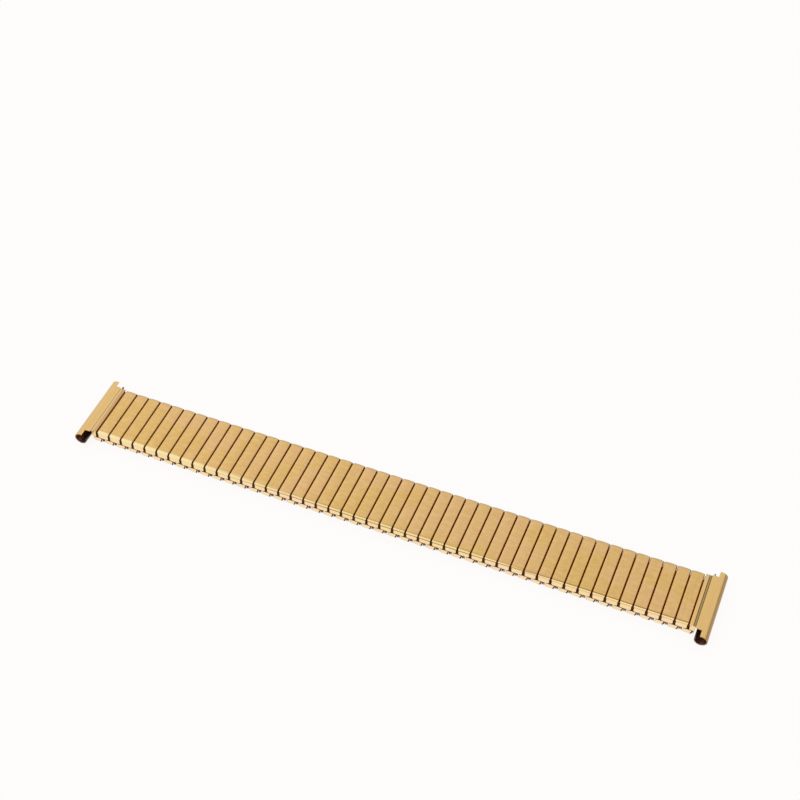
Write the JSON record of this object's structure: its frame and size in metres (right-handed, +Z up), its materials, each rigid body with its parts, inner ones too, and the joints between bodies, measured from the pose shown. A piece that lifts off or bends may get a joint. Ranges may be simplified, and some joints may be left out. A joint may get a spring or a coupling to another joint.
{
  "type": "expansion watch band",
  "caption": "Stretching metal watch band of two staggered rows of short cross links, with gold covers and ends curled to hooks that take a watch's spring bars.",
  "frame": {"origin": "on the surface that the flat band lies on, under the middle of the band", "axes": "+X along the band, +Y across it, +Z up, away from the wrist"},
  "size_m": [0.1474, 0.018, 0.0034],
  "materials": {
    "gold_links": "brushed gold plate",
    "gold_ends": "satin gold plate"
  },
  "bodies": {
    "centre_link": {"centre_link": "gold_links"},
    "link_pair_24": {"link_pair_24": "gold_links"},
    "link_pair_25": {"link_pair_25": "gold_links"},
    "top_link_26": {"top_link_26": "gold_links"},
    "bottom_link_27": {"bottom_link_27": "gold_links"},
    "link_pair_27": {"link_pair_27": "gold_links"},
    "link_pair_28": {"link_pair_28": "gold_links"},
    "link_pair_29": {"link_pair_29": "gold_links"},
    "top_link_30": {"top_link_30": "gold_links"},
    "bottom_link_31": {"bottom_link_31": "gold_links"},
    "link_pair_31": {"link_pair_31": "gold_links"},
    "link_pair_32": {"link_pair_32": "gold_links"},
    "link_pair_33": {"link_pair_33": "gold_links"},
    "top_link_34": {"top_link_34": "gold_links"},
    "bottom_link_35": {"bottom_link_35": "gold_links"},
    "link_pair_35": {"link_pair_35": "gold_links"},
    "link_pair_36": {"link_pair_36": "gold_links"},
    "link_pair_37": {"link_pair_37": "gold_links"},
    "top_link_38": {"top_link_38": "gold_links"},
    "bottom_link_39": {"bottom_link_39": "gold_links"},
    "link_pair_39": {"link_pair_39": "gold_links"},
    "link_pair_40": {"link_pair_40": "gold_links"},
    "link_pair_41": {"link_pair_41": "gold_links"},
    "top_link_42": {"top_link_42": "gold_links"},
    "bottom_link_43": {"bottom_link_43": "gold_links"},
    "link_pair_43": {"link_pair_43": "gold_links"},
    "link_pair_44": {"link_pair_44": "gold_links"},
    "link_pair_45": {"link_pair_45": "gold_links"},
    "top_link_46": {"top_link_46": "gold_links"},
    "bottom_link_47": {"bottom_link_47": "gold_links"},
    "end_fitting_right": {"end_fitting_right": "gold_ends"},
    "link_pair_22": {"link_pair_22": "gold_links"},
    "top_link_21": {"top_link_21": "gold_links"},
    "bottom_link_21": {"bottom_link_21": "gold_links"},
    "link_pair_20": {"link_pair_20": "gold_links"},
    "link_pair_19": {"link_pair_19": "gold_links"},
    "link_pair_18": {"link_pair_18": "gold_links"},
    "top_link_17": {"top_link_17": "gold_links"},
    "bottom_link_17": {"bottom_link_17": "gold_links"},
    "link_pair_16": {"link_pair_16": "gold_links"},
    "link_pair_15": {"link_pair_15": "gold_links"},
    "link_pair_14": {"link_pair_14": "gold_links"},
    "top_link_13": {"top_link_13": "gold_links"},
    "bottom_link_13": {"bottom_link_13": "gold_links"},
    "link_pair_12": {"link_pair_12": "gold_links"},
    "link_pair_11": {"link_pair_11": "gold_links"},
    "link_pair_10": {"link_pair_10": "gold_links"},
    "top_link_09": {"top_link_09": "gold_links"},
    "bottom_link_09": {"bottom_link_09": "gold_links"},
    "link_pair_08": {"link_pair_08": "gold_links"},
    "link_pair_07": {"link_pair_07": "gold_links"},
    "link_pair_06": {"link_pair_06": "gold_links"},
    "top_link_05": {"top_link_05": "gold_links"},
    "bottom_link_05": {"bottom_link_05": "gold_links"},
    "link_pair_04": {"link_pair_04": "gold_links"},
    "link_pair_03": {"link_pair_03": "gold_links"},
    "link_pair_02": {"link_pair_02": "gold_links"},
    "top_link_01": {"top_link_01": "gold_links"},
    "bottom_link_01": {"bottom_link_01": "gold_links"},
    "end_fitting_left": {"end_fitting_left": "gold_ends"}
  },
  "joints": [
    {"name": "stretch", "type": "slide", "parent": "centre_link", "child": "link_pair_24", "axis": [1, 0, 0], "range_m": [0, 0.00062], "stiffness_N_per_m": 1000},
    {"name": "stretch_25", "type": "slide", "parent": "link_pair_24", "child": "link_pair_25", "axis": [1, 0, 0], "range_m": [0, 0.00062], "stiffness_N_per_m": 1000},
    {"name": "stretch_26", "type": "slide", "parent": "link_pair_25", "child": "top_link_26", "axis": [1, 0, 0], "range_m": [0, 0.00062], "stiffness_N_per_m": 1000},
    {"name": "bend_26", "type": "hinge", "parent": "top_link_26", "child": "bottom_link_27", "pos_m": [0.00771, 0, 0.00153], "axis": [0, 1, 0], "range_deg": [0, 15]},
    {"name": "stretch_27", "type": "slide", "parent": "bottom_link_27", "child": "link_pair_27", "axis": [1, 0, 0], "range_m": [0, 0.00062], "stiffness_N_per_m": 1000},
    {"name": "stretch_28", "type": "slide", "parent": "link_pair_27", "child": "link_pair_28", "axis": [1, 0, 0], "range_m": [0, 0.00062], "stiffness_N_per_m": 1000},
    {"name": "stretch_29", "type": "slide", "parent": "link_pair_28", "child": "link_pair_29", "axis": [1, 0, 0], "range_m": [0, 0.00062], "stiffness_N_per_m": 1000},
    {"name": "stretch_30", "type": "slide", "parent": "link_pair_29", "child": "top_link_30", "axis": [1, 0, 0], "range_m": [0, 0.00062], "stiffness_N_per_m": 1000},
    {"name": "bend_30", "type": "hinge", "parent": "top_link_30", "child": "bottom_link_31", "pos_m": [0.01971, 0, 0.00153], "axis": [0, 1, 0], "range_deg": [0, 15]},
    {"name": "stretch_31", "type": "slide", "parent": "bottom_link_31", "child": "link_pair_31", "axis": [1, 0, 0], "range_m": [0, 0.00062], "stiffness_N_per_m": 1000},
    {"name": "stretch_32", "type": "slide", "parent": "link_pair_31", "child": "link_pair_32", "axis": [1, 0, 0], "range_m": [0, 0.00062], "stiffness_N_per_m": 1000},
    {"name": "stretch_33", "type": "slide", "parent": "link_pair_32", "child": "link_pair_33", "axis": [1, 0, 0], "range_m": [0, 0.00062], "stiffness_N_per_m": 1000},
    {"name": "stretch_34", "type": "slide", "parent": "link_pair_33", "child": "top_link_34", "axis": [1, 0, 0], "range_m": [0, 0.00062], "stiffness_N_per_m": 1000},
    {"name": "bend_34", "type": "hinge", "parent": "top_link_34", "child": "bottom_link_35", "pos_m": [0.03171, 0, 0.00153], "axis": [0, 1, 0], "range_deg": [0, 15]},
    {"name": "stretch_35", "type": "slide", "parent": "bottom_link_35", "child": "link_pair_35", "axis": [1, 0, 0], "range_m": [0, 0.00062], "stiffness_N_per_m": 1000},
    {"name": "stretch_36", "type": "slide", "parent": "link_pair_35", "child": "link_pair_36", "axis": [1, 0, 0], "range_m": [0, 0.00062], "stiffness_N_per_m": 1000},
    {"name": "stretch_37", "type": "slide", "parent": "link_pair_36", "child": "link_pair_37", "axis": [1, 0, 0], "range_m": [0, 0.00062], "stiffness_N_per_m": 1000},
    {"name": "stretch_38", "type": "slide", "parent": "link_pair_37", "child": "top_link_38", "axis": [1, 0, 0], "range_m": [0, 0.00062], "stiffness_N_per_m": 1000},
    {"name": "bend_38", "type": "hinge", "parent": "top_link_38", "child": "bottom_link_39", "pos_m": [0.04371, 0, 0.00153], "axis": [0, 1, 0], "range_deg": [0, 15]},
    {"name": "stretch_39", "type": "slide", "parent": "bottom_link_39", "child": "link_pair_39", "axis": [1, 0, 0], "range_m": [0, 0.00062], "stiffness_N_per_m": 1000},
    {"name": "stretch_40", "type": "slide", "parent": "link_pair_39", "child": "link_pair_40", "axis": [1, 0, 0], "range_m": [0, 0.00062], "stiffness_N_per_m": 1000},
    {"name": "stretch_41", "type": "slide", "parent": "link_pair_40", "child": "link_pair_41", "axis": [1, 0, 0], "range_m": [0, 0.00062], "stiffness_N_per_m": 1000},
    {"name": "stretch_42", "type": "slide", "parent": "link_pair_41", "child": "top_link_42", "axis": [1, 0, 0], "range_m": [0, 0.00062], "stiffness_N_per_m": 1000},
    {"name": "bend_42", "type": "hinge", "parent": "top_link_42", "child": "bottom_link_43", "pos_m": [0.05571, 0, 0.00153], "axis": [0, 1, 0], "range_deg": [0, 15]},
    {"name": "stretch_43", "type": "slide", "parent": "bottom_link_43", "child": "link_pair_43", "axis": [1, 0, 0], "range_m": [0, 0.00062], "stiffness_N_per_m": 1000},
    {"name": "stretch_44", "type": "slide", "parent": "link_pair_43", "child": "link_pair_44", "axis": [1, 0, 0], "range_m": [0, 0.00062], "stiffness_N_per_m": 1000},
    {"name": "stretch_45", "type": "slide", "parent": "link_pair_44", "child": "link_pair_45", "axis": [1, 0, 0], "range_m": [0, 0.00062], "stiffness_N_per_m": 1000},
    {"name": "stretch_46", "type": "slide", "parent": "link_pair_45", "child": "top_link_46", "axis": [1, 0, 0], "range_m": [0, 0.00062], "stiffness_N_per_m": 1000},
    {"name": "bend_46", "type": "hinge", "parent": "top_link_46", "child": "bottom_link_47", "pos_m": [0.06771, 0, 0.00153], "axis": [0, 1, 0], "range_deg": [0, 15]},
    {"name": "stretch_right_end", "type": "slide", "parent": "bottom_link_47", "child": "end_fitting_right", "axis": [1, 0, 0], "range_m": [0, 0.00062], "stiffness_N_per_m": 1000},
    {"name": "stretch_22", "type": "slide", "parent": "centre_link", "child": "link_pair_22", "axis": [-1, 0, 0], "range_m": [0, 0.00062], "stiffness_N_per_m": 1000},
    {"name": "stretch_21", "type": "slide", "parent": "link_pair_22", "child": "top_link_21", "axis": [-1, 0, 0], "range_m": [0, 0.00062], "stiffness_N_per_m": 1000},
    {"name": "bend_21", "type": "hinge", "parent": "top_link_21", "child": "bottom_link_21", "pos_m": [-0.00771, 0, 0.00153], "axis": [0, -1, 0], "range_deg": [0, 15]},
    {"name": "stretch_20", "type": "slide", "parent": "bottom_link_21", "child": "link_pair_20", "axis": [-1, 0, 0], "range_m": [0, 0.00062], "stiffness_N_per_m": 1000},
    {"name": "stretch_19", "type": "slide", "parent": "link_pair_20", "child": "link_pair_19", "axis": [-1, 0, 0], "range_m": [0, 0.00062], "stiffness_N_per_m": 1000},
    {"name": "stretch_18", "type": "slide", "parent": "link_pair_19", "child": "link_pair_18", "axis": [-1, 0, 0], "range_m": [0, 0.00062], "stiffness_N_per_m": 1000},
    {"name": "stretch_17", "type": "slide", "parent": "link_pair_18", "child": "top_link_17", "axis": [-1, 0, 0], "range_m": [0, 0.00062], "stiffness_N_per_m": 1000},
    {"name": "bend_17", "type": "hinge", "parent": "top_link_17", "child": "bottom_link_17", "pos_m": [-0.01971, 0, 0.00153], "axis": [0, -1, 0], "range_deg": [0, 15]},
    {"name": "stretch_16", "type": "slide", "parent": "bottom_link_17", "child": "link_pair_16", "axis": [-1, 0, 0], "range_m": [0, 0.00062], "stiffness_N_per_m": 1000},
    {"name": "stretch_15", "type": "slide", "parent": "link_pair_16", "child": "link_pair_15", "axis": [-1, 0, 0], "range_m": [0, 0.00062], "stiffness_N_per_m": 1000},
    {"name": "stretch_14", "type": "slide", "parent": "link_pair_15", "child": "link_pair_14", "axis": [-1, 0, 0], "range_m": [0, 0.00062], "stiffness_N_per_m": 1000},
    {"name": "stretch_13", "type": "slide", "parent": "link_pair_14", "child": "top_link_13", "axis": [-1, 0, 0], "range_m": [0, 0.00062], "stiffness_N_per_m": 1000},
    {"name": "bend_13", "type": "hinge", "parent": "top_link_13", "child": "bottom_link_13", "pos_m": [-0.03171, 0, 0.00153], "axis": [0, -1, 0], "range_deg": [0, 15]},
    {"name": "stretch_12", "type": "slide", "parent": "bottom_link_13", "child": "link_pair_12", "axis": [-1, 0, 0], "range_m": [0, 0.00062], "stiffness_N_per_m": 1000},
    {"name": "stretch_11", "type": "slide", "parent": "link_pair_12", "child": "link_pair_11", "axis": [-1, 0, 0], "range_m": [0, 0.00062], "stiffness_N_per_m": 1000},
    {"name": "stretch_10", "type": "slide", "parent": "link_pair_11", "child": "link_pair_10", "axis": [-1, 0, 0], "range_m": [0, 0.00062], "stiffness_N_per_m": 1000},
    {"name": "stretch_09", "type": "slide", "parent": "link_pair_10", "child": "top_link_09", "axis": [-1, 0, 0], "range_m": [0, 0.00062], "stiffness_N_per_m": 1000},
    {"name": "bend_09", "type": "hinge", "parent": "top_link_09", "child": "bottom_link_09", "pos_m": [-0.04371, 0, 0.00153], "axis": [0, -1, 0], "range_deg": [0, 15]},
    {"name": "stretch_08", "type": "slide", "parent": "bottom_link_09", "child": "link_pair_08", "axis": [-1, 0, 0], "range_m": [0, 0.00062], "stiffness_N_per_m": 1000},
    {"name": "stretch_07", "type": "slide", "parent": "link_pair_08", "child": "link_pair_07", "axis": [-1, 0, 0], "range_m": [0, 0.00062], "stiffness_N_per_m": 1000},
    {"name": "stretch_06", "type": "slide", "parent": "link_pair_07", "child": "link_pair_06", "axis": [-1, 0, 0], "range_m": [0, 0.00062], "stiffness_N_per_m": 1000},
    {"name": "stretch_05", "type": "slide", "parent": "link_pair_06", "child": "top_link_05", "axis": [-1, 0, 0], "range_m": [0, 0.00062], "stiffness_N_per_m": 1000},
    {"name": "bend_05", "type": "hinge", "parent": "top_link_05", "child": "bottom_link_05", "pos_m": [-0.05571, 0, 0.00153], "axis": [0, -1, 0], "range_deg": [0, 15]},
    {"name": "stretch_04", "type": "slide", "parent": "bottom_link_05", "child": "link_pair_04", "axis": [-1, 0, 0], "range_m": [0, 0.00062], "stiffness_N_per_m": 1000},
    {"name": "stretch_03", "type": "slide", "parent": "link_pair_04", "child": "link_pair_03", "axis": [-1, 0, 0], "range_m": [0, 0.00062], "stiffness_N_per_m": 1000},
    {"name": "stretch_02", "type": "slide", "parent": "link_pair_03", "child": "link_pair_02", "axis": [-1, 0, 0], "range_m": [0, 0.00062], "stiffness_N_per_m": 1000},
    {"name": "stretch_01", "type": "slide", "parent": "link_pair_02", "child": "top_link_01", "axis": [-1, 0, 0], "range_m": [0, 0.00062], "stiffness_N_per_m": 1000},
    {"name": "bend_01", "type": "hinge", "parent": "top_link_01", "child": "bottom_link_01", "pos_m": [-0.06771, 0, 0.00153], "axis": [0, -1, 0], "range_deg": [0, 15]},
    {"name": "stretch_left_end", "type": "slide", "parent": "bottom_link_01", "child": "end_fitting_left", "axis": [-1, 0, 0], "range_m": [0, 0.00062], "stiffness_N_per_m": 1000}
  ],
  "couplings": [
    {"joint": "stretch_25", "follows": "stretch", "ratio": 1},
    {"joint": "stretch_26", "follows": "stretch", "ratio": 1},
    {"joint": "stretch_27", "follows": "stretch", "ratio": 1},
    {"joint": "stretch_28", "follows": "stretch", "ratio": 1},
    {"joint": "stretch_29", "follows": "stretch", "ratio": 1},
    {"joint": "stretch_30", "follows": "stretch", "ratio": 1},
    {"joint": "stretch_31", "follows": "stretch", "ratio": 1},
    {"joint": "stretch_32", "follows": "stretch", "ratio": 1},
    {"joint": "stretch_33", "follows": "stretch", "ratio": 1},
    {"joint": "stretch_34", "follows": "stretch", "ratio": 1},
    {"joint": "stretch_35", "follows": "stretch", "ratio": 1},
    {"joint": "stretch_36", "follows": "stretch", "ratio": 1},
    {"joint": "stretch_37", "follows": "stretch", "ratio": 1},
    {"joint": "stretch_38", "follows": "stretch", "ratio": 1},
    {"joint": "stretch_39", "follows": "stretch", "ratio": 1},
    {"joint": "stretch_40", "follows": "stretch", "ratio": 1},
    {"joint": "stretch_41", "follows": "stretch", "ratio": 1},
    {"joint": "stretch_42", "follows": "stretch", "ratio": 1},
    {"joint": "stretch_43", "follows": "stretch", "ratio": 1},
    {"joint": "stretch_44", "follows": "stretch", "ratio": 1},
    {"joint": "stretch_45", "follows": "stretch", "ratio": 1},
    {"joint": "stretch_46", "follows": "stretch", "ratio": 1},
    {"joint": "stretch_right_end", "follows": "stretch", "ratio": 1},
    {"joint": "stretch_22", "follows": "stretch", "ratio": 1},
    {"joint": "stretch_21", "follows": "stretch", "ratio": 1},
    {"joint": "stretch_20", "follows": "stretch", "ratio": 1},
    {"joint": "stretch_19", "follows": "stretch", "ratio": 1},
    {"joint": "stretch_18", "follows": "stretch", "ratio": 1},
    {"joint": "stretch_17", "follows": "stretch", "ratio": 1},
    {"joint": "stretch_16", "follows": "stretch", "ratio": 1},
    {"joint": "stretch_15", "follows": "stretch", "ratio": 1},
    {"joint": "stretch_14", "follows": "stretch", "ratio": 1},
    {"joint": "stretch_13", "follows": "stretch", "ratio": 1},
    {"joint": "stretch_12", "follows": "stretch", "ratio": 1},
    {"joint": "stretch_11", "follows": "stretch", "ratio": 1},
    {"joint": "stretch_10", "follows": "stretch", "ratio": 1},
    {"joint": "stretch_09", "follows": "stretch", "ratio": 1},
    {"joint": "stretch_08", "follows": "stretch", "ratio": 1},
    {"joint": "stretch_07", "follows": "stretch", "ratio": 1},
    {"joint": "stretch_06", "follows": "stretch", "ratio": 1},
    {"joint": "stretch_05", "follows": "stretch", "ratio": 1},
    {"joint": "stretch_04", "follows": "stretch", "ratio": 1},
    {"joint": "stretch_03", "follows": "stretch", "ratio": 1},
    {"joint": "stretch_02", "follows": "stretch", "ratio": 1},
    {"joint": "stretch_01", "follows": "stretch", "ratio": 1},
    {"joint": "stretch_left_end", "follows": "stretch", "ratio": 1}
  ]
}
